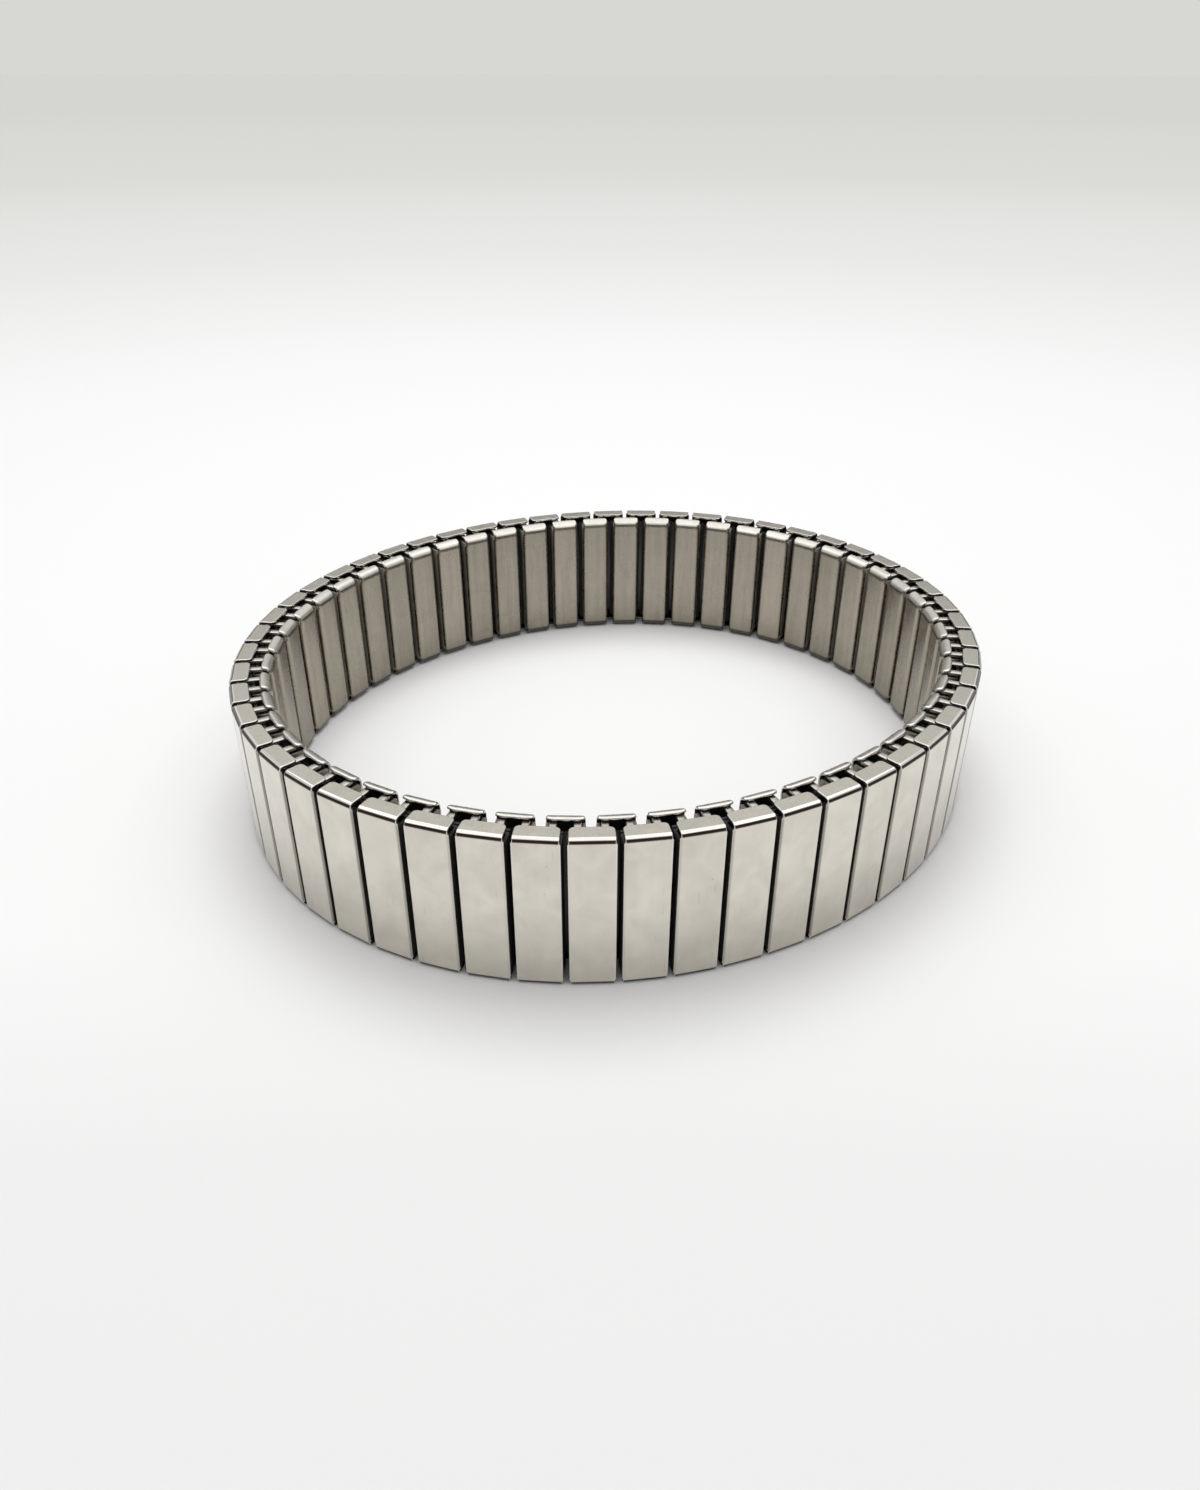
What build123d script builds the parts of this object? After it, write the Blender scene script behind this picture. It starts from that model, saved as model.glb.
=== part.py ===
# Expansion band: an endless ring of two layers of hollow links, standing on its edge.
# The outer links carry the polished faces, the inner links lie against the wrist, half a pitch along.
# U-shaped bows of flat strip join each outer link to the two inner links that it overlaps.
# A leaf spring in every link presses the bow legs flat against the link's face wall.
# Millimetres, +Z up, origin on the table at the middle of the ring, -Y towards the front of the ring.

import os
from math import cos, degrees, pi, radians, sin

from build123d import *

os.makedirs("parts", exist_ok=True)

# Driving dimensions of the ring
band_width = 12.0
outer_diameter = 59.0
link_pitch = 3.31
layer_gap = 0.12

# The limp band stands as a slight oval: its radius swells and shrinks by this share of itself
out_of_round_share = 0.05
long_axis_angle = -57.0
first_link_share = -0.17

# Sheet and strip
sheet = 0.2
strip = 0.3
spring_sheet = 0.12

# Outer link
outer_link_gap = 0.17
outer_depth = 1.52
outer_edge_radius = 0.14
outer_fold_radius = 0.35
outer_tab_depth = 1.44
outer_tab_corner = 0.5
outer_tab_taper = 0.09

# Inner link
inner_link_gap = 0.75
inner_depth = 1.51
inner_edge_radius = 0.34
inner_fold_radius = 0.78
inner_tab_depth = 0.9
inner_tab_corner = 0.3
inner_tab_taper = 0.06

# What both kinds of link share
tab_corner_limit_share = 0.9
back_corner_radius = 0.12
back_seam_gap = 0.3
tab_to_bow = 0.08
bow_to_sleeve = 0.1

# Connecting bow
bow_inner_gap = 0.05
bow_outer_gap = 0.245
bow_bend_radius = 0.12
bow_leg_length = 5.2
leg_play = 0.1

# Leaf spring
spring_end_gap = 0.25
spring_side_gap = 0.2
spring_seat = 0.03
tilt_room = 0.22

# Each half of the ring moves as this many groups of half pitches; every group ends at a sliding overlap
groups_per_half = 6

# Worked out from the sizes above: a whole number of links, the pitch and the widths that they then have
gap_line_radius = outer_diameter / 2 - outer_depth - layer_gap / 2
gap_line_length = 2 * pi * gap_line_radius
link_count = round(gap_line_length / link_pitch)
pitch = gap_line_length / link_count
outer_width = pitch - outer_link_gap
inner_width = pitch - inner_link_gap

# The bow fills the room between the outer link's side wall and the inner link's, but for its two gaps
bow_room = (outer_width + inner_width - pitch) / 2 - 2 * sheet
bow_width = bow_room - bow_inner_gap - bow_outer_gap
bow_to_inner_middle = inner_width / 2 - sheet - bow_inner_gap - bow_width / 2
bow_top = band_width - sheet - tab_to_bow
sleeve_end = sheet + tab_to_bow + strip + bow_to_sleeve


def station(place):
    """A frame on the gap line, place counted in pitches from the front: X along the band, Y to the wrist."""
    turn = place * pitch / gap_line_radius
    long_axis = radians(long_axis_angle)
    angle = turn - out_of_round_share / 2 * sin(2 * (turn - long_axis))
    off_axis = 2 * (angle - long_axis)
    radius = gap_line_radius * (1 + out_of_round_share * cos(off_axis))
    facing = angle + 2 * out_of_round_share * sin(off_axis)
    return Location((radius * sin(angle), -radius * cos(angle), 0), (0, 0, degrees(facing)))


def rounded(outline, corners, radius):
    """The outline with the corners nearest the given points rounded."""
    chosen = [outline.vertices().sort_by_distance(corner)[0] for corner in corners]
    return fillet(chosen, radius)


def tab_blank(width, depth, edge_radius, tab_depth, tab_corner, tab_taper):
    """The casing seen from above: its full width at the face, then a slightly tapered tab."""
    face_y, tab_y = -depth, -depth + tab_depth
    shoulder_y = face_y + edge_radius + sheet
    half_face, half_tab = width / 2, width / 2 - tab_taper
    outline = make_face(
        Polyline(
            (-half_face, face_y),
            (half_face, face_y),
            (half_face, shoulder_y),
            (half_tab, tab_y),
            (-half_tab, tab_y),
            (-half_face, shoulder_y),
            close=True,
        )
    )
    outline = rounded(outline, [(-half_face, face_y), (half_face, face_y)], edge_radius)
    corner = min(tab_corner, tab_corner_limit_share * (tab_y - shoulder_y))
    return rounded(outline, [(-half_tab, tab_y), (half_tab, tab_y)], corner)


def folded_block(width, depth, fold_radius, wall=0):
    """A block behind the face, smaller by a wall at the face and at both ends, its face edges rounded."""
    block = Pos(0, wall - depth / 2, band_width / 2) * Box(width, depth, band_width - 2 * wall)
    face_edges = block.edges().filter_by(Axis.X).group_by(Axis.Y)[0]
    return fillet(face_edges, fold_radius - wall) if fold_radius > wall else block


def sleeve(width, depth, edge_radius):
    """The folded tube behind the face plate, with its seam open along the middle of the back wall."""
    outside = Pos(0, -depth / 2) * Rectangle(width, depth)
    outside = rounded(outside, [(-width / 2, -depth), (width / 2, -depth)], edge_radius)
    outside = rounded(outside, [(-width / 2, 0), (width / 2, 0)], back_corner_radius)
    inside = Pos(0, -depth / 2) * Rectangle(width - 2 * sheet, depth - 2 * sheet)
    if edge_radius > sheet:
        half_inside = width / 2 - sheet
        corners = [(-half_inside, -depth + sheet), (half_inside, -depth + sheet)]
        inside = rounded(inside, corners, edge_radius - sheet)
    seam = Pos(0, -sheet / 2) * Rectangle(back_seam_gap, 2 * sheet)
    tube = extrude(outside - inside - seam, band_width - 2 * sleeve_end)
    return Pos(0, 0, sleeve_end) * tube


def casing(width, depth, edge_radius, fold_radius, tab_depth, tab_corner, tab_taper):
    """One link, its back wall on Y = 0 and its face towards -Y."""
    blank = tab_blank(width, depth, edge_radius, tab_depth, tab_corner, tab_taper)
    whole = folded_block(width, depth, fold_radius)
    plate = (whole - folded_block(width, depth, fold_radius, sheet)) & extrude(blank, band_width)
    return (plate + (sleeve(width, depth, edge_radius) & whole)).solid()


def leaf_spring(link_width, link_depth):
    """A shallow arch along Z: its middle seated on the back wall, its ends raised under the bow legs."""
    width = link_width - 2 * (sheet + spring_side_gap)
    seat_y = -(sheet + spring_seat)
    legs_y = -(link_depth - sheet - leg_play - strip)
    rise = seat_y - spring_sheet - (legs_y + tilt_room)
    half_length = band_width / 2 - sleeve_end - spring_end_gap
    seat_radius = (half_length**2 + rise**2) / (2 * rise)
    centre = (seat_y - seat_radius, band_width / 2)
    half_angle = degrees(half_length / seat_radius)
    seat_side = CenterArc(centre, seat_radius, -half_angle, 2 * half_angle)
    leg_side = CenterArc(centre, seat_radius - spring_sheet, -half_angle, 2 * half_angle)
    ends = [Line(seat_side @ 0, leg_side @ 0), Line(seat_side @ 1, leg_side @ 1)]
    profile = make_face(Curve() + [seat_side, leg_side] + ends)
    return extrude(Plane.YZ * profile, width / 2, both=True).solid()


def bend_under(fold_radius):
    """The inside radius of the bow's bend under a tab: it follows the fold where that is wide enough."""
    return max(bow_bend_radius, fold_radius - sheet - leg_play - strip)


def bow():
    """A U of flat strip: the legs stand in an outer and an inner link, the bridge runs under the tabs."""
    outer_reach = layer_gap / 2 + outer_depth - sheet - leg_play
    inner_reach = layer_gap / 2 + inner_depth - sheet - leg_play
    span = outer_reach + inner_reach
    middle_y = (inner_reach - outer_reach) / 2
    low = bow_top - bow_leg_length
    outside = Pos(middle_y, (bow_top + low) / 2) * Rectangle(span, bow_leg_length)
    inside = Pos(middle_y, (bow_top + low) / 2 - strip) * Rectangle(span - 2 * strip, bow_leg_length)
    for leg_y, inward, bend in (
        (-outer_reach, strip, bend_under(outer_fold_radius)),
        (inner_reach, -strip, bend_under(inner_fold_radius)),
    ):
        outside = rounded(outside, [(leg_y, bow_top)], bend + strip)
        inside = rounded(inside, [(leg_y + inward, bow_top - strip)], bend)
    return extrude(Plane.YZ * (outside - inside), bow_width / 2, both=True).solid()


def bow_place(step):
    """Where the bow between half step and half step + 1 stands, in pitches."""
    from_inner = bow_to_inner_middle / pitch
    from_step = 1 / 2 - from_inner if step % 2 == 0 else from_inner
    return first_link_share + step / 2 + from_step


def save(name, solids):
    """One node: its solids side by side in one file."""
    group = Compound(label=name, children=list(solids))
    export_step(group, f"parts/{name}.step")


# One of each piece, drawn at its own station
outer_link = casing(
    outer_width,
    outer_depth,
    outer_edge_radius,
    outer_fold_radius,
    outer_tab_depth,
    outer_tab_corner,
    outer_tab_taper,
)
inner_link = casing(
    inner_width,
    inner_depth,
    inner_edge_radius,
    inner_fold_radius,
    inner_tab_depth,
    inner_tab_corner,
    inner_tab_taper,
)
outer_link = Pos(0, -layer_gap / 2) * outer_link
inner_link = Pos(0, layer_gap / 2) * Rot(0, 0, 180) * inner_link
outer_spring = Pos(0, -layer_gap / 2) * leaf_spring(outer_width, outer_depth)
inner_spring = Pos(0, layer_gap / 2) * Rot(0, 0, 180) * leaf_spring(inner_width, inner_depth)
top_bow = bow()
bottom_bow = Pos(0, 0, band_width) * Rot(0, 180, 0) * top_bow

# The ring, group by group: even half steps carry an outer link, odd ones an inner link
shortest, longer_groups = divmod(link_count, groups_per_half)
half_groups = [shortest + (place < longer_groups) for place in range(groups_per_half)]
first_step = 0
for number, steps in enumerate(2 * half_groups, start=1):
    own = range(first_step, first_step + steps)
    outer_places = [station(first_link_share + step / 2) for step in own if step % 2 == 0]
    inner_places = [station(first_link_share + step / 2) for step in own if step % 2 == 1]
    bow_places = [station(bow_place(step)) for step in own]
    held_bows, seam_bow = bow_places[:-1], bow_places[-1]
    save(f"outer_links_{number:02d}", [place * outer_link for place in outer_places])
    save(f"inner_links_{number:02d}", [place * inner_link for place in inner_places])
    springs = [place * outer_spring for place in outer_places]
    springs += [place * inner_spring for place in inner_places]
    save(f"leaf_springs_{number:02d}", springs)
    save(f"bows_{number:02d}", [place * one for place in held_bows for one in (top_bow, bottom_bow)])
    save(f"seam_bows_{number:02d}", [seam_bow * top_bow, seam_bow * bottom_bow])
    first_step += steps

print("links of each kind", link_count, "pitch on the gap line", round(pitch, 3), "half steps", first_step)
print("outer link", round(outer_link.volume, 2), "inner link", round(inner_link.volume, 2), "mm3")
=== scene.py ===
# %% [markdown]
# # A stretch band of polished steel links
#
# The object is an endless expansion band, 59 mm across and 12 mm wide, standing on its edge.
# It has two layers of hollow links: 53 wide ones outside and 53 narrower ones against the wrist, half a pitch along.
# Flat bows join the layers, and a leaf spring in every link presses the bow legs to its face.
#
# The first cell loads the measured model as a fixed frame. Each later cell adds a finish or a softer shape to it,
# and nothing in the frame is moved.

# %% Load the measured frame
from math import pi, radians

import bpy
import numpy as np
from mathutils import Matrix, Vector


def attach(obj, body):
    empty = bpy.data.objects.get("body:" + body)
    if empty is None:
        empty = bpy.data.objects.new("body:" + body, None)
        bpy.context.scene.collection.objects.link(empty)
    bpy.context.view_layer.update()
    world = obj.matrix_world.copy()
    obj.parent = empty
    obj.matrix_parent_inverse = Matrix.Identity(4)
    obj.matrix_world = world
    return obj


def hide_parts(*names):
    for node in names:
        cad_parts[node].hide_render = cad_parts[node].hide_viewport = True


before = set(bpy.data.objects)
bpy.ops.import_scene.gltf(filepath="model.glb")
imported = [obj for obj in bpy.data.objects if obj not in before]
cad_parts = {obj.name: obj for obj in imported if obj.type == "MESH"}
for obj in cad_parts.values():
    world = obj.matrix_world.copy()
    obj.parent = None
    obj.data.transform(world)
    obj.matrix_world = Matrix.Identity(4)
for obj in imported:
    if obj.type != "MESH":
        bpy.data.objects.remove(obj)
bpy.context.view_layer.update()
mm = 0.001
scene = bpy.context.scene
scene.view_settings.view_transform = "Standard"

# %% [markdown]
# ## Camera
#
# The band is photographed from very near, so the front links look 1.7 times as large as the ones at the back.
# Only a real distance gives that, and no longer lens can copy it. The place, the direction and the lens were worked
# out together, from where the 53 joints between the outer links lie in the picture.

# %% Place the camera
camera_data = bpy.data.cameras.new("camera")
camera_data.sensor_fit = "VERTICAL"
camera_data.sensor_height = 36
camera_data.lens = 26.56
camera_data.clip_start = 1 * mm
camera_data.clip_end = 100
camera = bpy.data.objects.new("camera", camera_data)
scene.collection.objects.link(camera)
scene.camera = camera
heading, pitch_down, roll = radians(0.7346), radians(31.894), radians(0.1185)
camera.matrix_world = (
    Matrix.Translation(Vector((0.020, -82.661, 52.207)) * mm)
    @ Matrix.Rotation(heading, 4, "Z")
    @ Matrix.Rotation(pi / 2 - pitch_down, 4, "X")
    @ Matrix.Rotation(roll, 4, "Z")
)
print("camera at", [round(value / mm, 1) for value in camera.matrix_world.translation], "mm")

# %% [markdown]
# ## Floor and background
#
# The band stands on white paper that fades to pale grey far behind it, with no line between floor and wall.
# A curved backdrop would show its edges from the side, so here one wide floor does it: close to the band it is lit
# paper, which keeps the shadow, and from 60 to 200 mm away it turns into the plain colour of the background. Only the
# camera sees that colour. Metal goes on seeing lit paper, which is painted a little greyer in front of the band than
# behind: a painted shadow of the camera and the hands that hold it.


# %% A helper for node trees, and the floor
def node(tree, kind, inputs=None, **settings):
    """Adds a node, sets its settings, and fills or links its inputs: a socket is linked, a value is set."""
    made = tree.nodes.new(kind)
    for name, value in settings.items():
        setattr(made, name, value)
    for name, value in (inputs or {}).items():
        if isinstance(value, bpy.types.NodeSocket):
            tree.links.new(value, made.inputs[name])
        else:
            made.inputs[name].default_value = value
    return made


def grey(value, warmth=0.0):
    """A linear colour that is neutral at warmth 0 and loses blue above it."""
    return (value, value, value * (1 - 2 * warmth), 1)


def ramp(tree, factor, stops):
    """A colour ramp through (place, colour) stops."""
    made = node(tree, "ShaderNodeValToRGB", {"Fac": factor})
    elements = made.color_ramp.elements
    elements[0].position, elements[0].color = stops[0]
    elements[1].position, elements[1].color = stops[-1]
    for place, colour in stops[1:-1]:
        elements.new(place).color = colour
    return made.outputs["Color"]


def mesh_object(name, points, faces, materials):
    """A mesh object at the origin from points in metres and faces of point numbers."""
    mesh = bpy.data.meshes.new(name)
    mesh.from_pydata(np.asarray(points).tolist(), [], np.asarray(faces).tolist())
    made = bpy.data.objects.new(name, mesh)
    scene.collection.objects.link(made)
    for material in materials:
        mesh.materials.append(material)
    return made


floor_sides = 96

# In metres from the middle: the floor's edge, where the paper starts and ends its fading, and the last colour's place
floor_radius = 6
fade_start, fade_end = 0.06, 0.2
last_colour_from = 1.5

paper = bpy.data.materials.new("white paper")
paper.use_nodes = True
tree = paper.node_tree
tree.nodes.clear()
place = node(tree, "ShaderNodeTexCoord")
distance = node(tree, "ShaderNodeVectorMath", {0: place.outputs["Object"]}, operation="LENGTH")
far = node(tree, "ShaderNodeMapRange", {"Value": distance.outputs["Value"], "From Max": last_colour_from})
fade_colour = ramp(
    tree,
    far.outputs["Result"],
    [(0.0, grey(0.95)), (0.11, grey(0.93)), (0.2, grey(0.82, 0.01)), (0.4, grey(0.71, 0.02)), (1, grey(0.665, 0.022))],
)
fade = node(
    tree, "ShaderNodeMapRange", {"Value": distance.outputs["Value"], "From Min": fade_start, "From Max": fade_end}
)
seen = node(tree, "ShaderNodeLightPath")
share = node(
    tree, "ShaderNodeMath", {0: fade.outputs["Result"], 1: seen.outputs["Is Camera Ray"]}, operation="MULTIPLY"
)
depth = node(tree, "ShaderNodeSeparateXYZ", {"Vector": place.outputs["Object"]})
# The paper is painted greyer towards the front of the band: a painted shadow of the camera and the hands that hold it
front_shadow_fade = node(tree, "ShaderNodeMapRange", {"Value": depth.outputs["Y"], "From Min": -0.1, "From Max": -0.02})
paper_with_painted_shadow = ramp(
    tree, front_shadow_fade.outputs["Result"], [(0.0, grey(0.785)), (0.7, grey(0.8)), (0.93, grey(0.86)), (1, grey(0.86))]
)
lit = node(tree, "ShaderNodeBsdfDiffuse", {"Color": paper_with_painted_shadow})
plain = node(tree, "ShaderNodeEmission", {"Color": fade_colour})
mixed = node(
    tree, "ShaderNodeMixShader", {0: share.outputs["Value"], 1: lit.outputs["BSDF"], 2: plain.outputs["Emission"]}
)
node(tree, "ShaderNodeOutputMaterial", {"Surface": mixed.outputs["Shader"]})

turns = np.linspace(0, 2 * pi, floor_sides + 1)[:-1]
floor_rim = floor_radius * np.stack([np.cos(turns), np.sin(turns), 0 * turns], -1)
floor = mesh_object("floor", floor_rim, [np.arange(floor_sides)], [paper])
print("floor radius", floor_radius, "m")

# %% [markdown]
# ## Studio light
#
# Polished steel shows its surroundings, so the light is set up for what the steel will mirror. The flat faces mirror
# the paper in front of them. The tabs on top mirror the wall behind: a light grey part of it in the front links, and
# a dark band low down in the ones at the back. The folds between face and tab sweep up to the broad white light
# above, which draws their bright line. The wall is one colour ramp by the sine of the angle above the horizon. It is
# dark up to 21 degrees and bright from 25. From 57 degrees up it is dark again, but there the ceiling light covers it.
#
# The paper gets most of its light from two lamps above, since the wall lights matt surfaces with only six tenths of
# its strength. The smaller lamp stands a little behind the band and gives it a short shadow to the front. The steel
# doesn't mirror that lamp.

# %% World and lamps
world = bpy.data.worlds.new("studio")
scene.world = world
world.use_nodes = True
tree = world.node_tree
tree.nodes.clear()
direction = node(tree, "ShaderNodeTexCoord")
height = node(tree, "ShaderNodeSeparateXYZ", {"Vector": direction.outputs["Generated"]})
walls = ramp(
    tree,
    height.outputs["Z"],
    [
        (0.0, grey(0.3)),
        (0.15, grey(0.3)),
        (0.24, grey(0.2)),
        (0.36, grey(0.2)),
        (0.43, grey(0.88, 0.01)),
        (0.6, grey(0.68, 0.01)),
        (0.7, grey(0.72)),
        (0.78, grey(0.8)),
        (0.84, grey(0.1)),
        (1, grey(0.1)),
    ],
)
seen = node(tree, "ShaderNodeLightPath")
background = node(
    tree,
    "ShaderNodeMix",
    {"Factor": seen.outputs["Is Camera Ray"], "A": walls, "B": grey(0.68, 0.02)},
    data_type="RGBA",
)
strength = node(tree, "ShaderNodeMapRange", {"Value": seen.outputs["Is Diffuse Ray"], "To Min": 1.0, "To Max": 0.6})
plain = node(
    tree, "ShaderNodeBackground", {"Color": background.outputs["Result"], "Strength": strength.outputs["Result"]}
)
node(tree, "ShaderNodeOutputWorld", {"Surface": plain.outputs["Background"]})


def softbox(name, centre, width, height, power):
    """A rectangular lamp in metres and watts that shines straight down and isn't seen by the camera itself."""
    lamp = bpy.data.lights.new(name, "AREA")
    lamp.shape = "RECTANGLE"
    lamp.size, lamp.size_y, lamp.energy = width, height, power
    made = bpy.data.objects.new(name, lamp)
    scene.collection.objects.link(made)
    made.location = centre
    made.visible_camera = False
    return made


softbox("ceiling light", centre=(0, -0.01, 0.5), width=0.9, height=0.78, power=2.45)
window = softbox("window behind", centre=(0, 0.16, 0.5), width=0.3, height=0.3, power=1.15)
window.visible_glossy = False

# %% [markdown]
# ## The line of the ring
#
# Every link stands on the line between the two layers. The limp band isn't a true circle, so this line swells and
# shrinks a little as it goes round. A place on it is counted in link pitches from the front.

# %% Places on the ring
band_width = 12 * mm
link_count = 53
gap_line_radius = 27.92 * mm
pitch = 2 * pi * gap_line_radius / link_count
layer_gap = 0.12 * mm
out_of_round, long_axis = 0.05, radians(-57)
first_link = -0.17
groups_per_half = 6
section_count = 2 * groups_per_half


def stations(places):
    """Positions on the gap line and the angle that each faces.

    A circle's angle is shifted by half the out-of-round share times the sine of twice the angle from the long axis,
    and the radius grows by that share times the cosine.
    """
    turn = 2 * pi * np.asarray(places) / link_count
    angle = turn - out_of_round / 2 * np.sin(2 * (turn - long_axis))
    off_axis = 2 * (angle - long_axis)
    radius = gap_line_radius * (1 + out_of_round * np.cos(off_axis))
    spots = np.stack([radius * np.sin(angle), -radius * np.cos(angle)], -1)
    return spots, angle + 2 * out_of_round * np.sin(off_axis)


def set_round(points, places):
    """Copies local points (X along the band, Y to the wrist, Z up) to each place: one block of points per place."""
    spots, facing = stations(places)
    cos_f, sin_f = np.cos(facing)[:, None], np.sin(facing)[:, None]
    x, y, z = points[:, 0], points[:, 1], points[:, 2]
    return np.stack(
        [
            spots[:, :1] + x * cos_f - y * sin_f,
            spots[:, 1:] + x * sin_f + y * cos_f,
            np.broadcast_to(z, (len(places), len(z))),
        ],
        -1,
    )


half = [link_count // groups_per_half + (k < link_count % groups_per_half) for k in range(groups_per_half)]
first_steps = np.cumsum([0] + 2 * half)
print("half pitches in each section", np.diff(first_steps))

# %% [markdown]
# ## Sizes of the two kinds of link
#
# Each link is folded from one sheet. Its face plate runs the whole width of the band and folds over at both ends into
# a tab. The folds and edges are where polished metal shows its form, so this piece isn't left with sharp edges.
#
# The same functions make both kinds of link, and only these numbers tell them apart. The first table holds lengths in
# millimetres. The second holds shares from 0 to 1: a place on the fold, counted from the tab to the face, or the
# strength of a mark.

# %% Tables of sizes and finish limits, for an outer and an inner link
lengths = {
    "width": (3.14, 2.56),  # of the face, along the band
    "depth": (1.52, 1.51),  # from the face to the back wall
    "edge": (0.14, 0.34),  # radius of the face's side edges
    "fold": (0.35, 0.78),  # radius of the fold between the face and the tab
    "tab": (1.44, 0.9),  # from the face to the tab's tip
    "tip_edge": (0.07, 0.16),  # radius of the tab's edges
    "corner": (0.35, 0.26),  # length of the tab's rounded corners
    "sweep": (0.35, 0.55),  # width of the tab's rounded corners
    "shoulder": (0.09, 0.03),  # by which each side of the tab stands back from the face's
    "taper": (0.03, 0.04),  # by which each side comes in further at the tip
    "skirt": (0.3, 0.45),  # depth to which the face's sides are folded back
}
shares = {
    "edge_from": (0.85, 0.3),  # of the fold, from which the edge grows to the face's radius
    "finish_from": (0, 0.75),  # of the fold, from which the skin has the face's finish
    "edge_finish_from": (0, 0.55),  # the same on the rounded edges
    "rim_to": (1, 0.3),  # of the fold, up to which the rim is rubbed and painted bright all the way
    "side_rim": (0.55, 0),  # how strongly the rim is rubbed and painted bright along the face
    "tip_rim": (0.2, 0.4),  # and round the tab's tip
    "fold_rub_and_highlight": (0.6, 0),  # how strongly the upper part of the fold is rubbed and given a painted highlight
    "line": (1, 0),  # how dark the painted shade is where the fold meets the face, a painted dark reflection
}
skin_steps = (4, 5)  # points of the rounded edge that have the skin's finish
link_sizes = [
    {
        **{name: pair[kind] * mm for name, pair in lengths.items()},
        **{name: pair[kind] for name, pair in shares.items()},
        "skin_steps": skin_steps[kind],
    }
    for kind in (0, 1)
]
outer_sizes, inner_sizes = link_sizes
sheet = 0.2 * mm
print("sizes of a link", len(lengths) + len(shares) + 1)

# %% [markdown]
# ## A profile carried along a path
#
# A bevelled box would have edges of one radius, but here they are wider along the face than along the tabs. So the
# plate is one closed skin, a profile carried along a path. The path runs from the tip of one tab over the fold, down
# the face, and over the other fold to the other tip. The profile is the sheet's cross-section, with rounded edges at
# both sides. Each point of it has an inset from the side of the plate and a depth below its outer skin.

# %% The profile, the path and the rows of points along it
rim_edge = 0.03 * mm
fold_rows = 13


def ease(value, low, high):
    """Rises smoothly from 0 at low to 1 at high."""
    share = np.clip((value - low) / (high - low), 0, 1)
    return share * share * (3 - 2 * share)


def side_profile(edge, skirt):
    """Inset and depth of the profile's points from the flat skin, round the edge, to the flat underside.

    A quarter circle of the edge radius, a straight side down to the skirt depth, a rim as wide as the sheet, and a
    quarter circle back to the underside. Each argument is an array with one value for every row.
    """
    turn = np.linspace(0, pi / 2, 5)
    edge, skirt = edge[:, None], skirt[:, None]
    inner = np.maximum(edge - sheet, rim_edge)
    inset = [edge * (1 - np.sin(turn)), 0 * edge, 0 * edge + rim_edge, 0 * edge + sheet - rim_edge, 0 * edge + sheet]
    depth = [edge * (1 - np.cos(turn)), skirt - rim_edge, skirt, skirt, np.maximum(skirt - rim_edge, sheet)]
    turn = np.linspace(0, pi / 2, 3)
    inset.append(sheet + inner * (1 - np.cos(turn)))
    depth.append(np.minimum(sheet + inner * (1 - np.sin(turn)), skirt))
    return np.concatenate(inset, 1), np.concatenate(depth, 1)


def fold_span(sizes):
    """Where along the outer skin, from the tab's tip, the fold begins and ends: the fold is a quarter circle."""
    flat = sizes["tab"] - sizes["fold"]
    return flat, flat + sizes["fold"] * pi / 2


def plate_path(length, depth, sizes):
    """Points at a length along the outer skin from the tab's tip, sunk by a depth: the tab, the fold, the face.

    On the fold a point lies on a circle of the fold radius less its depth, so all layers of the sheet are concentric.
    """
    fold, thick = sizes["fold"], sizes["depth"]
    flat, _ = fold_span(sizes)
    turn = np.clip((length - flat) / fold, 0, pi / 2)
    y = -thick + fold - np.sin(turn) * (fold - depth) + np.maximum(flat - length, 0)
    z = band_width - fold + np.cos(turn) * (fold - depth) - np.maximum(length - flat - fold * pi / 2, 0)
    return y, z


def row_starts(sizes):
    """Where the rows lie along the outer skin, from the tab's tip to the middle of the face, and their corner turns.

    The first rows go round the tab's corner by equal turns: their start is the corner times 1 less the turn's cosine.
    """
    flat, fold_end = fold_span(sizes)
    corner = sizes["corner"]
    on_tab = np.array([flat - 0.3 * mm, flat - 0.03 * mm])
    on_fold = flat + sizes["fold"] * np.linspace(0, pi / 2, fold_rows)
    on_face = fold_end + np.array([0.04, 0.1, 0.3]) * mm
    middle = fold_end + band_width / 2 - sizes["fold"]
    rows = np.concatenate([on_tab, on_fold, on_face])
    rows = np.concatenate([rows[rows > corner + 0.02 * mm], [(fold_end + middle) / 2, middle]])
    turn = np.linspace(0, pi / 2, 5)
    in_corner = np.concatenate([turn, np.full(len(rows), pi / 2)])
    return np.concatenate([corner * (1 - np.cos(turn)), rows]), in_corner[:, None]


def grid_quads(rows, columns, closed):
    """Quads between neighbouring rows of a grid of points, which closes on itself across its columns if asked.

    Also returns the row and the column that each quad starts from.
    """
    i, j = np.meshgrid(np.arange(rows - 1), np.arange(columns - (not closed)), indexing="ij")
    k = (j + 1) % columns
    return i, j, np.stack([i * columns + j, (i + 1) * columns + j, (i + 1) * columns + k, i * columns + k], -1)


print("rows of points in half a plate:", [len(row_starts(sizes)[0]) for sizes in link_sizes])

# %% [markdown]
# ## The skin of the plate, its wear and its painted light
#
# Across the plate the skin has seven points, with two of them close to each side, where it starts to round. The edges
# and the upper part of the fold are rubbed smoother and given a painted highlight. A line of painted shade lies where
# the fold meets the face, a painted reflection of the dark surroundings in front, and the folds and tabs that the band
# stands on get painted shade for the shadow where they touch the paper. An image could be painted with such marks.
# Here each point of the mesh carries them as two numbers that the finishes read, so they follow the shape exactly.

# %% Make a face plate
crown = 0.012 * mm
across = np.array([-1, -0.955, -0.5, 0, 0.5, 0.955, 1.0])
side = len(across) - 1

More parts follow.
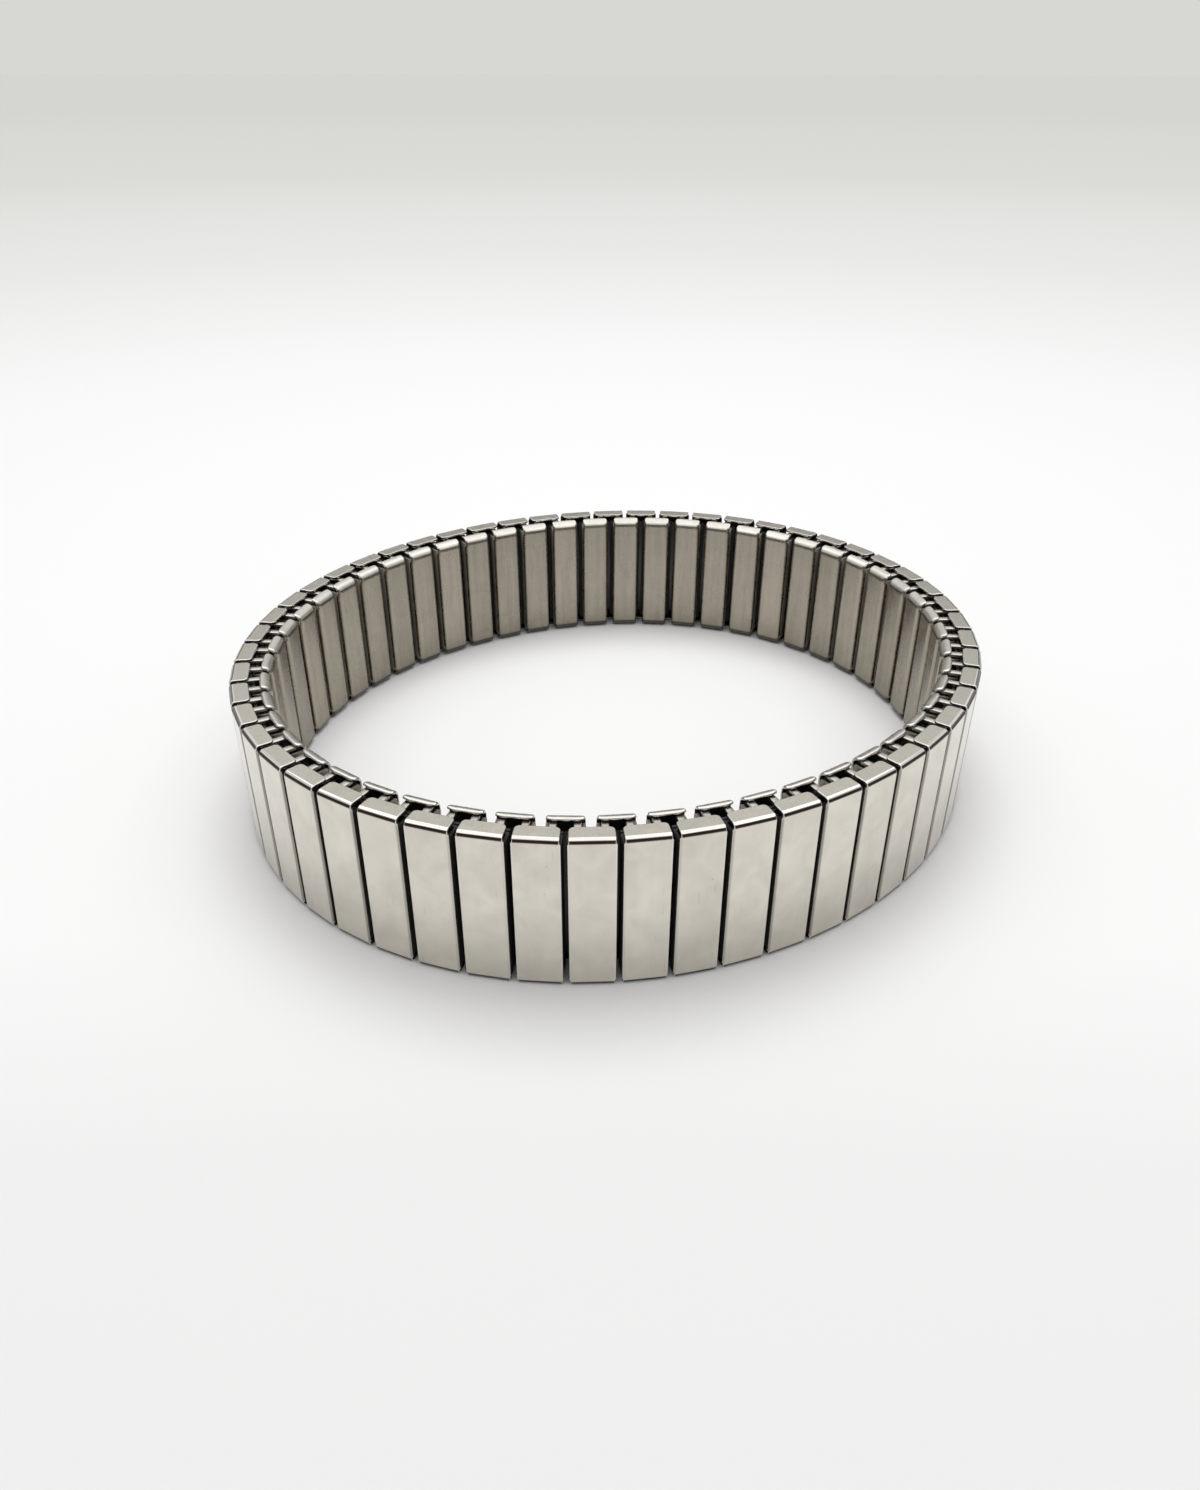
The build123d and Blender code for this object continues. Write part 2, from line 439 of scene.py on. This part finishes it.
# How much of the rub and painted highlight each point round the edge takes, and how many rows at the tip
# are rubbed and painted bright or have the tab's skin
edge_rub_and_highlight = (0, 0.6, 1, 1, 1)
cap_rim_rows, cap_skin_rows = 6, 8

# Where a mark sets in and where it fades: lengths from the fold's start and end, or turns round the fold in radians
fold_rub_and_highlight_sets_in, fold_rub_and_highlight_fades = (-0.02 * mm, 0.05 * mm), (-0.32 * mm, -0.26 * mm)
line_sets_in, line_fades = (0.72, 0.93), (1.4, 1.64)

# The length over which the rim's rub and painted highlight fade, and the last share of the fold, over which the
# painted shade of the foot fades
rim_fade, foot_shade_fade = 0.1 * mm, 0.3


def plate_wear_and_painted_light(sizes, start, columns):
    """Wear and painted light of the points of the upper and of the lower half of the plate: one grid of rims and one
    of painted shades each.

    A column's rim is its share of the edge's rub and painted highlight. The painted shade is the dark line above, a
    painted reflection, and below the painted shade of the foot, which stands for the shadow where it touches the
    paper.
    """
    flat, fold_end = fold_span(sizes)
    rim = np.zeros((len(start), columns))
    rim_end = flat + sizes["rim_to"] * (fold_end - flat)
    on_rim = sizes["side_rim"] + (1 - sizes["side_rim"]) * (1 - ease(start, rim_end - rim_fade, rim_end))
    for step, amount in enumerate(edge_rub_and_highlight):
        rim[:, [side + step, (columns - step) % columns]] = (amount * on_rim)[:, None]
    rim[:2] = sizes["tip_rim"]
    # The upper part of the fold is rubbed smoother and given a painted highlight
    fold_rub_and_highlight = sizes["fold_rub_and_highlight"] * ease(start - flat, *fold_rub_and_highlight_sets_in) * (1 - ease(start - fold_end, *fold_rub_and_highlight_fades))
    turned = (start - flat) / sizes["fold"]
    # The line where the fold meets the face is painted shade: a painted reflection of the dark surroundings in front
    line = sizes["line"] * ease(turned, *line_sets_in) * (1 - ease(turned, *line_fades))
    # The tab and fold that the band stands on get painted shade, which stands for the shadow where they touch the
    # paper
    foot_shade = 1 - ease(start, fold_end - foot_shade_fade * sizes["fold"], fold_end)
    line, foot_shade = (np.repeat(values[:, None], columns, 1) for values in (line, foot_shade))
    return (np.maximum(rim, fold_rub_and_highlight[:, None]), line), (rim, foot_shade)


def face_plate(sizes):
    """One plate in its own frame: back wall on Y = 0, face towards -Y.

    Returns its points, two values of wear and painted light for each of them, its faces, and a part for each face. The
    first value is the rim, rubbed and painted bright, the second the painted shade: the dark line and the foot. Part 0
    is the skin of the face and the folds, part 1 the skin of the tabs, part 2 all that lies behind.
    """
    corner, sweep = sizes["corner"], sizes["sweep"]
    flat, fold_end = fold_span(sizes)
    start, in_corner = row_starts(sizes)
    edge_start = flat + sizes["edge_from"] * (fold_end - flat)
    edge = sizes["tip_edge"] + (sizes["edge"] - sizes["tip_edge"]) * ease(start, edge_start, fold_end + 0.1 * mm)
    wall = np.maximum(sheet, edge)
    skirt = wall + ease(start, fold_end, fold_end + 0.3 * mm) * (sizes["skirt"] - wall)
    inset, depth = side_profile(edge, skirt)
    bulge = crown * ease(start, flat, fold_end + 0.3 * mm)[:, None]
    narrowing = sizes["shoulder"] * (1 - ease(start, fold_end - 0.06 * mm, fold_end + 0.1 * mm))
    half_width = (sizes["width"] / 2 - narrowing - sizes["taper"] * (1 - np.clip(start / flat, 0, 1)))[:, None]

    def at(inset, depth, share):
        """Points of every row: the corner's ellipse shrinks by the inset, and share says how far out they are."""
        reach = half_width - sweep + (sweep - inset) * np.sin(in_corner)
        length = np.where(in_corner < pi / 2, inset + (corner - inset) * (1 - np.cos(in_corner)), start[:, None])
        y, z = plate_path(length, depth, sizes)
        return np.stack(np.broadcast_arrays(reach * share, y, z), -1)

    skin = at(inset[:, :1], bulge * across**2, across)
    right = at(inset, depth + bulge, 1.0)
    left = at(inset, depth + bulge, -1.0)
    under = at(inset[:, -1:], depth[:, -1:], across)
    loop = np.concatenate([skin[:, :-1], right[:, :-1], under[:, :0:-1], left[:, :0:-1]], 1)
    rows, columns = loop.shape[:2]
    i, j, quads = grid_quads(rows, columns, True)
    skin_column = (j < side + sizes["skin_steps"]) | (j >= columns - sizes["skin_steps"])
    on_edge = (j >= side) & (j < columns - 1)
    finish_start = flat + np.where(on_edge, sizes["edge_finish_from"], sizes["finish_from"]) * (fold_end - flat)
    part = np.where(skin_column, np.where(start[i] < finish_start - 0.01 * mm, 1, 0), 2)

    # The tip is closed by a strip that goes round the sheet's rounded end
    cap = np.repeat(right[0][:, None], len(across), 1)
    cap[..., 0] = right[0, :, :1] * across
    m, _, lids = grid_quads(*cap.shape[:2], False)
    lids = lids[..., ::-1] + rows * columns
    cap_part = np.where(m < cap_skin_rows, 1, 2)
    # The first rows round the tip are rubbed smoother and given a painted highlight
    cap_rim = sizes["tip_rim"] * np.repeat(np.arange(len(cap)) < cap_rim_rows, len(across))

    (rim, line), (low_rim, foot_shade) = plate_wear_and_painted_light(sizes, start, columns)
    rims = [rim.reshape(-1), cap_rim, low_rim.reshape(-1), cap_rim]
    # The lower tip is painted shade all over, as it stands on the paper
    painted_shades = [line.reshape(-1), 0 * cap_rim, foot_shade.reshape(-1), 0 * cap_rim + 1]
    top_points = np.concatenate([loop.reshape(-1, 3), cap.reshape(-1, 3)])
    top_faces = np.concatenate([quads.reshape(-1, 4), lids.reshape(-1, 4)])
    points = np.concatenate([top_points, top_points * [1, 1, -1] + [0, 0, band_width]])
    faces = np.concatenate([top_faces, top_faces[:, ::-1] + len(top_points)])
    part = np.tile(np.concatenate([part.reshape(-1), cap_part.reshape(-1)]), 2)
    return points, np.stack([np.concatenate(rims), np.concatenate(painted_shades)], -1), faces, part


print("points in a plate:", [len(face_plate(sizes)[0]) for sizes in link_sizes])

# %% [markdown]
# ## The sleeve behind the plate
#
# Behind the face, the sheet is folded back on both sides and meets again along the middle of the back wall. Little
# more than its sides can be seen through the gaps, so each half is a plain bent strip. It is dull, and painted black
# towards the back wall as painted shade, where no light comes.

# %% Make a sleeve and put a link together
back_corner, inner_corner = 0.12 * mm, 0.04 * mm
seam_gap = 0.3 * mm
sleeve_end = 0.68 * mm


def sleeve(sizes):
    """Two bent strips: a side wall from inside the plate to the back, a rounded corner, and half the back wall.

    Its outer line and its inner line have the same number of points, so quads join them all the way.
    """
    outside = sizes["width"] / 2 - 0.01 * mm
    start = -sizes["depth"] + sizes["skirt"] - 0.05 * mm
    turn = np.linspace(0, pi / 2, 4)
    lines = []
    for wall, radius in ((0, back_corner), (sheet, inner_corner)):
        x = np.concatenate([[outside - wall], outside - wall - radius * (1 - np.cos(turn)), [seam_gap / 2]])
        y = np.concatenate([[start], -wall - radius * (1 - np.sin(turn)), [-wall]])
        lines.append(np.stack([x, y], -1))
    outline = np.concatenate([lines[0], lines[1][::-1]])
    size, steps = len(outline), len(lines[0])
    low = np.column_stack([outline, np.full(size, sleeve_end)])
    points = np.concatenate([low, low + [0, 0, band_width - 2 * sleeve_end]])
    k = np.arange(size)
    walls = np.stack([k, (k + 1) % size, (k + 1) % size + size, k + size], -1)
    k = np.arange(steps - 1)
    ladder = np.stack([k, size - 1 - k, size - 2 - k, k + 1], -1)
    faces = np.concatenate([walls, ladder, ladder[:, ::-1] + size])
    mirrored = points * [-1, 1, 1]
    return np.concatenate([points, mirrored]), np.concatenate([faces, faces[:, ::-1] + len(points)])


def link(sizes, inward):
    """Plate and sleeve in the local frame of a station; inward turns the face to the wrist. The sleeve is part 3.

    Points that coincide are joined, and faces that shrink to a line at the tab's tip are dropped.
    """
    points, wear_and_painted_light, faces, part = face_plate(sizes)
    keys = np.round(points / (1e-4 * mm)).astype(int)
    _, first, number = np.unique(keys, axis=0, return_index=True, return_inverse=True)
    points, wear_and_painted_light, faces = points[first], wear_and_painted_light[first], number.reshape(-1)[faces]
    ordered = np.sort(faces, 1)
    kept = (ordered[:, 1:] != ordered[:, :-1]).all(1)
    faces, part = faces[kept], part[kept]
    sleeve_points, sleeve_faces = sleeve(sizes)
    faces = np.concatenate([faces, sleeve_faces + len(points)])
    part = np.concatenate([part, np.full(len(sleeve_faces), 3)])
    # The sleeve gets painted shade, full towards the back wall
    back_wall_shade = ease(sleeve_points[:, 1], -0.8 * mm, -0.2 * mm)
    wear_and_painted_light = np.concatenate([wear_and_painted_light, np.stack([0 * back_wall_shade, back_wall_shade], -1)])
    points = np.concatenate([points, sleeve_points])
    turned = points * ([-1, -1, 1] if inward else [1, 1, 1])
    return turned + [0, (layer_gap if inward else -layer_gap) / 2, 0], wear_and_painted_light, faces, part


link_forms = {"outer": link(outer_sizes, False), "inner": link(inner_sizes, True)}
for label, (points, _, faces, _) in link_forms.items():
    print(label, "link:", len(faces), "faces, lowest and highest in mm", points.min(0) / mm, points.max(0) / mm)

# %% [markdown]
# ## Bows
#
# Between the two rows of tabs, the bridges of the bows show as light bars, two for each link. A bow is a U of flat
# strip with rounded edges. There are 212 of them, so each is a small mesh: a profile of eight points carried round
# the U in eight rows.

# %% Make a bow
strip = 0.3 * mm
leg_play = 0.1 * mm
side_play = 0.05 * mm
bow_width = 0.5025 * mm
bow_top = 11.72 * mm
bow_leg = 5.2 * mm
bow_edge = 0.07 * mm
bridge_height = 0.35 * mm
outer_bend, inner_bend = 0.42 * mm, 0.48 * mm
outer_reach, inner_reach = (layer_gap / 2 + sizes["depth"] - sheet - leg_play for sizes in link_sizes)


def bow_mesh():
    """A U of strip with its bridge at the top, as points and quads.

    The profile is a rectangle whose two outer edges are rounded. Its points have a place across the strip and a depth
    below the U's outer line. That line runs up one leg, round a bend, over the bridge and down again, and a point of
    a bend lies on a circle of the bend's radius less its depth.
    """
    end, soft = bow_width / 2, bow_edge
    place = np.array([-end + soft, end - soft, end - 0.3 * soft, end, end, -end, -end, -end + 0.3 * soft])
    depth = np.array([0, 0, 0.3 * soft, soft, strip, strip, soft, 0.3 * soft])
    turns, rows = np.array([0, pi / 4, pi / 2]), []
    for reach, radius, sign in ((outer_reach, outer_bend, -1), (inner_reach, inner_bend, 1)):
        y = sign * (reach - radius + (radius - depth) * np.cos(turns)[:, None])
        z = bow_top - radius + (radius - depth) * np.sin(turns)[:, None]
        leg = np.stack([sign * (reach - depth), 0 * depth + bow_top - bow_leg], -1)
        bend = np.stack([y, z], -1)
        block = np.concatenate([leg[None], bend])
        rows.append(block if sign < 0 else block[::-1])
    line = np.concatenate(rows)
    points = np.concatenate([np.broadcast_to(place, line.shape[:2])[..., None], line], -1)
    _, _, quads = grid_quads(*line.shape[:2], True)
    ends = np.array([[0, 1, 2, 7], [7, 2, 3, 6], [6, 3, 4, 5]])
    last = (line.shape[0] - 1) * line.shape[1]
    return points.reshape(-1, 3), np.concatenate([quads.reshape(-1, 4)[:, ::-1], ends[:, ::-1], ends + last])


def bow_places(steps):
    """Where the bows stand, in pitches: each near the side of the inner link that it holds."""
    from_inner = (inner_sizes["width"] / 2 - sheet - side_play - bow_width / 2) / pitch
    return first_link + steps / 2 + np.where(steps % 2 == 0, 0.5 - from_inner, from_inner)


bow_points, bow_faces = bow_mesh()
flipped_points = bow_points * [1, 1, -1] + [0, 0, band_width]
both_points = np.concatenate([bow_points, flipped_points])
both_faces = np.concatenate([bow_faces, bow_faces[:, ::-1] + len(bow_points)])
print("bow:", len(bow_faces), "faces")

# %% [markdown]
# ## Finishes
#
# All the finishes are the same stainless steel, worked in different ways: faces polished to a mirror that handling
# has dulled a little, tabs left satin by the press, inner faces rubbed along their length, and strip as it was drawn.
# What lies behind them sees little light and is painted dull or nearly black, as painted shade. What they share is
# built
# once as node groups: a place on the link itself, smudges with specks and scratches, and a drawn grain. Each link
# takes another piece of every pattern, so no two look alike.


# %% Node groups that the finishes share
def new_group(name, inputs, outputs):
    """An empty node group with named sockets, and its input and output nodes."""
    tree = bpy.data.node_groups.new(name, "ShaderNodeTree")
    for label, kind, value in inputs:
        socket = tree.interface.new_socket(name=label, in_out="INPUT", socket_type=kind)
        if value is not None:
            socket.default_value = value
    for label, kind in outputs:
        tree.interface.new_socket(name=label, in_out="OUTPUT", socket_type=kind)
    return tree, tree.nodes.new("NodeGroupInput").outputs, tree.nodes.new("NodeGroupOutput")


def math(tree, operation, a, b=0.0, c=0.0):
    """One Math node's result."""
    return node(tree, "ShaderNodeMath", {0: a, 1: b, 2: c}, operation=operation).outputs["Value"]


def spread(tree, value, low, high):
    """0 where the value is low, 1 where it is high, and in a straight line between them."""
    return node(tree, "ShaderNodeMapRange", {"Value": value, "From Min": low, "From Max": high}).outputs["Result"]


vector, number_kind = "NodeSocketVector", "NodeSocketFloat"
own_place, _, out = new_group("own place", [], [("Shifted", vector), ("Luck", number_kind)])
spot = node(own_place, "ShaderNodeAttribute", attribute_name="own_place").outputs["Vector"]
which = node(own_place, "ShaderNodeAttribute", attribute_name="link_number").outputs["Fac"]
jump = node(own_place, "ShaderNodeVectorMath", {0: (7.3, 3.1, 11.7), "Scale": which}, operation="SCALE")
moved = node(own_place, "ShaderNodeVectorMath", {0: spot, 1: jump.outputs["Vector"]})
luck = node(own_place, "ShaderNodeTexWhiteNoise", {"W": which}, noise_dimensions="1D")
for label, socket in (("Shifted", moved.outputs["Vector"]), ("Luck", luck.outputs["Value"])):
    own_place.links.new(socket, out.inputs[label])

marks, given, out = new_group(
    "handling marks",
    [("Vector", vector, None), ("Cloud Size", number_kind, 0.5)],
    [("Cloud", number_kind), ("Speck", number_kind), ("Scratch", number_kind)],
)
cloud = node(
    marks,
    "ShaderNodeTexNoise",
    {"Vector": given["Vector"], "Scale": given["Cloud Size"], "Detail": 4, "Distortion": 0.7},
)
cloud = spread(marks, cloud.outputs["Fac"], 0.32, 0.68)
cells = node(marks, "ShaderNodeTexVoronoi", {"Vector": given["Vector"], "Scale": 0.8})
lucky = node(marks, "ShaderNodeSeparateColor", {"Color": cells.outputs["Color"]}).outputs["Red"]
speck = math(
    marks, "MULTIPLY", spread(marks, cells.outputs["Distance"], 0.045, 0.02), spread(marks, lucky, 0.6, 0.65)
)
tilted = node(
    marks, "ShaderNodeMapping", {"Vector": given["Vector"], "Rotation": (0, 0.35, 0.2), "Scale": (9, 9, 0.55)}
)
fine = node(marks, "ShaderNodeTexNoise", {"Vector": tilted.outputs["Vector"], "Scale": 1.0, "Detail": 1})
patchy = node(marks, "ShaderNodeTexNoise", {"Vector": given["Vector"], "Scale": 0.8})
scratch = math(
    marks, "MULTIPLY", spread(marks, fine.outputs["Fac"], 0.66, 0.72), spread(marks, patchy.outputs["Fac"], 0.5, 0.62)
)
for label, socket in (("Cloud", cloud), ("Speck", speck), ("Scratch", scratch)):
    marks.links.new(socket, out.inputs[label])

grain, given, out = new_group(
    "drawn grain",
    [("Vector", vector, None), ("Across", number_kind, 8.0), ("Along", number_kind, 0.4)],
    [("Streak", number_kind), ("Fine", number_kind)],
)
stretch = node(grain, "ShaderNodeCombineXYZ", {"X": given["Across"], "Y": given["Across"], "Z": given["Along"]})
pulled = node(grain, "ShaderNodeVectorMath", {0: given["Vector"], 1: stretch.outputs["Vector"]}, operation="MULTIPLY")
coarse = node(grain, "ShaderNodeTexNoise", {"Vector": pulled.outputs["Vector"], "Scale": 0.25, "Detail": 2})
fine = node(grain, "ShaderNodeTexNoise", {"Vector": pulled.outputs["Vector"], "Scale": 1.6, "Detail": 3})
for label, made in (("Streak", coarse), ("Fine", fine)):
    grain.links.new(spread(grain, made.outputs["Fac"], 0.3, 0.7), out.inputs[label])
print("node groups", [tree.name for tree in bpy.data.node_groups])

# %% [markdown]
# ## One recipe for every steel
#
# Eight materials could each be built by hand. One function makes them all, so that a finish is only a colour, a
# roughness and how strongly each pattern shows. The patterns change the colour only a little. The values of wear and
# painted light that the mesh carries do more: the painted shade mixes in a dark colour, and the rim a near-white
# painted highlight on an edge that is also smoother.

# %% The finishes
scratch_roughness = 0.12


def steel(
    name,
    colour,
    roughness,
    metallic=1.0,
    cloud=0.04,
    luck=0.03,
    speck=0.0,
    scratch=0.0,
    streak=0.0,
    fine=0.0,
    cloud_size=0.5,
    across_scale=8.0,
    along_scale=0.4,
    wave=0.0,
    grain_height=0.0,
    rim=0.0,
    rim_highlight_colour=(0.93, 0.92, 0.9),
    painted_shade=0.8,
    painted_shade_colour=(0.03, 0.029, 0.027),
    painted_shade_roughness=0.0,
):
    """A steel: its colour times a tone, with painted shade and a painted bright rim mixed in by the values of the
    mesh.

    The tone is 1, more or less by the share given for cloud, luck, streak and fine grain, and less by the share given
    for specks and scratches. The roughness follows the cloud from 0.85 to 1.15 of the one given. Scratches and the
    painted shade add to it, and the rubbed rim takes up to half of it off. The heights of wave and grain are in
    millimetres.
    """
    made = bpy.data.materials.new(name)
    made.use_nodes = True
    tree = made.node_tree
    shader = tree.nodes["Principled BSDF"]
    shader.inputs["Metallic"].default_value = metallic
    spot = node(tree, "ShaderNodeGroup", node_tree=own_place)
    mark = node(tree, "ShaderNodeGroup", node_tree=marks)
    lines = node(tree, "ShaderNodeGroup", node_tree=grain)
    for pattern in (mark, lines):
        tree.links.new(spot.outputs["Shifted"], pattern.inputs["Vector"])
    mark.inputs["Cloud Size"].default_value = cloud_size
    lines.inputs["Across"].default_value, lines.inputs["Along"].default_value = across_scale, along_scale

    tone = math(tree, "MULTIPLY_ADD", mark.outputs["Cloud"], 2 * cloud, 1 - cloud)
    for source, label, amount in ((spot, "Luck", luck), (lines, "Streak", streak), (lines, "Fine", fine)):
        tone = math(tree, "ADD", tone, math(tree, "MULTIPLY_ADD", source.outputs[label], 2 * amount, -amount))
    tone = math(tree, "MULTIPLY_ADD", mark.outputs["Speck"], -speck, tone)
    tone = math(tree, "MULTIPLY_ADD", mark.outputs["Scratch"], -scratch, tone)
    mixed = node(tree, "ShaderNodeVectorMath", {0: colour, "Scale": tone}, operation="SCALE").outputs["Vector"]
    shown = {}
    # The painted shade mixes in a dark colour, and the rim a near-white painted highlight
    for label, amount, wear_and_light_colour in (("painted_shade", painted_shade, painted_shade_colour), ("rim", rim, rim_highlight_colour)):
        wear_and_light_value = node(tree, "ShaderNodeAttribute", attribute_name=label).outputs["Fac"]
        shown[label] = math(tree, "MULTIPLY", wear_and_light_value, amount)
        inputs = {"Factor": shown[label], "A": mixed, "B": (*wear_and_light_colour, 1)}
        mixed = node(tree, "ShaderNodeMix", inputs, data_type="RGBA").outputs["Result"]
    tree.links.new(mixed, shader.inputs["Base Color"])

    rough = math(tree, "MULTIPLY_ADD", mark.outputs["Cloud"], 0.3 * roughness, 0.85 * roughness)
    rough = math(tree, "MULTIPLY_ADD", mark.outputs["Scratch"], scratch_roughness, rough)
    rough = math(tree, "MULTIPLY_ADD", shown["rim"], -0.5 * roughness, rough)
    rough = math(tree, "MULTIPLY_ADD", shown["painted_shade"], painted_shade_roughness, rough)
    tree.links.new(rough, shader.inputs["Roughness"])

    low = node(tree, "ShaderNodeTexNoise", {"Vector": spot.outputs["Shifted"], "Scale": 0.6, "Detail": 0})
    height = math(tree, "MULTIPLY", low.outputs["Fac"], wave)
    height = math(tree, "MULTIPLY_ADD", lines.outputs["Fine"], grain_height, height)
    relief = node(tree, "ShaderNodeBump", {"Strength": 1.0, "Distance": mm, "Height": height})
    tree.links.new(relief.outputs["Normal"], shader.inputs["Normal"])
    return made


even_grain = {"across_scale": 6, "along_scale": 6}
polished = steel(
    "polished steel",
    (0.68, 0.645, 0.575),
    0.1,
    cloud=0.07,
    luck=0.02,
    speck=0.4,
    scratch=0.1,
    streak=0.015,
    cloud_size=0.45,
    wave=0.02,
    rim=0.9,
    painted_shade=1,
    painted_shade_colour=(0.045, 0.028, 0.025),
    painted_shade_roughness=0.25,
)
satin_tab = steel(
    "satin tab steel",
    (0.665, 0.632, 0.565),
    0.27,
    cloud=0.03,
    luck=0.04,
    speck=0.1,
    streak=0.02,
    fine=0.05,
    cloud_size=1.2,
    grain_height=0.0012,
    rim=0.7,
    **even_grain,
)
inner_face = steel(
    "grained inner steel",
    (0.34, 0.308, 0.255),
    0.28,
    cloud=0.07,
    luck=0.08,
    streak=0.07,
    fine=0.06,
    grain_height=0.0006,
)
inner_tab = steel(
    "inner tab steel",
    (0.76, 0.73, 0.67),
    0.3,
    cloud=0.05,
    luck=0.07,
    fine=0.04,
    cloud_size=1.2,
    grain_height=0.0008,
    rim=0.8,
    **even_grain,
)
bow_steel = steel("bow strip", (0.72, 0.69, 0.63), 0.3, cloud=0.06, luck=0.05, fine=0.06, **even_grain)
inner_side = steel("dull inner side", (0.5, 0.46, 0.39), 0.6, metallic=0.2, cloud=0.1, painted_shade=0.95)
# Matt and nearly black: painted shade for the hidden walls and the bow legs, where little light comes
painted_shade_steel = steel("steel painted black as shade in the folds", (0.025, 0.023, 0.021), 0.7, metallic=0.0, cloud=0.2, cloud_size=1.0)
spring_steel = steel("spring strip", (0.09, 0.087, 0.08), 0.45, cloud=0.08)
print("finishes", [material.name for material in bpy.data.materials])

# %% [markdown]
# ## Put the band together
#
# The measured model moves in twelve sections, so there is one object for each kind of piece in a section. Every point
# remembers its place on its own piece, before that piece is set round the ring, because the patterns of the finishes
# follow the piece and not the room.
#
# On the outer links at the sides of the ring, the rounded edge that is nearer to the front gets a brownish painted
# shade and is a little rougher, while the edge further from it keeps its rubbed rim and painted highlight. The leaf
# springs lie hidden inside the links, so the measured ones are kept as they are and only get a finish.

# %% Build the links and the bows, section by section
near_edge_shade = 0.58

# Where the painted shade sets in and where it is full, from the middle of the face and from the ends of the band
near_from_middle = (1.36 * mm, 1.5 * mm)
near_from_end = (0.3 * mm, 0.5 * mm)


def near_edges(points, places):
    """For each copy and point, how much it lies on the face's rounded edge that is nearer to the front of the ring.

    It is 0 for a link that faces straight forward or back, and full from 30 degrees away from either.
    """
    facing = stations(places)[1][:, None]
    from_end = band_width / 2 - np.abs(points[:, 2] - band_width / 2)
    along_edge = ease(np.abs(points[:, 0]), *near_from_middle) * ease(from_end, *near_from_end)
    return along_edge * np.clip(-2 * np.sign(points[:, 0]) * np.sin(facing), 0, 1)


def pieces(name, form, places, numbers, materials):
    """Copies of one form at the places, as one object with the attributes that the finishes read."""
    points, wear_and_painted_light, faces, part = form
    # On the near edges the painted highlight gives way to painted shade
    near = near_edges(points, places) if polished in materials else np.zeros((len(places), len(points)))
    blocks = set_round(points, places)
    all_faces = faces + len(points) * np.arange(len(places))[:, None, None]
    made = mesh_object(name, blocks.reshape(-1, 3), all_faces.reshape(-1, 4), materials)
    mesh, copies = made.data, len(places)
    mesh.polygons.foreach_set("material_index", np.tile(part, copies).astype(np.int32))
    mesh.polygons.foreach_set("use_smooth", np.tile(part != 3, copies))
    for label, kind, field, values in (
        ("own_place", "FLOAT_VECTOR", "vector", np.tile(points / mm, (copies, 1))),
        ("link_number", "FLOAT", "value", np.repeat(numbers, len(points))),
        ("rim", "FLOAT", "value", wear_and_painted_light[:, 0] * (1 - near)),
        ("painted_shade", "FLOAT", "value", np.maximum(wear_and_painted_light[:, 1], near_edge_shade * near)),
    ):
        mesh.attributes.new(label, kind, "POINT").data.foreach_set(field, values.astype(np.float32).reshape(-1))
    mesh.update()
    return made


# The legs are painted nearly black from a little under the bridge, as painted shade: they stand inside the sleeves
from_middle = np.abs(both_points[both_faces][..., 2] - band_width / 2)
in_leg = (from_middle < bow_top - bridge_height - band_width / 2).any(1)
bow_form = (both_points, np.zeros((len(both_points), 2)), both_faces, in_leg.astype(int))
for number in range(section_count):
    steps = np.arange(first_steps[number], first_steps[number + 1])
    tail, body = f"{number + 1:02d}", f"section_{number + 1:02d}"
    for label, own, materials in (
        ("outer", steps[steps % 2 == 0], (polished, satin_tab, painted_shade_steel, painted_shade_steel)),
        ("inner", steps[steps % 2 == 1], (inner_face, inner_tab, painted_shade_steel, inner_side)),
    ):
        made = pieces(f"{label}_link_row_{tail}", link_forms[label], first_link + own / 2, own, materials)
        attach(made, body)
        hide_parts(f"{label}_links_{tail}")
    for label, own, carrier in (("bows", steps[:-1], body), ("seam_bows", steps[-1:], f"seam_bow_pair_{tail}")):
        made = pieces(f"{label}_row_{tail}", bow_form, bow_places(own), own, (bow_steel, painted_shade_steel))
        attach(made, carrier)
        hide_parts(f"{label}_{tail}")

for name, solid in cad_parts.items():
    if "springs" in name:
        solid.data.materials.clear()
        solid.data.materials.append(spring_steel)
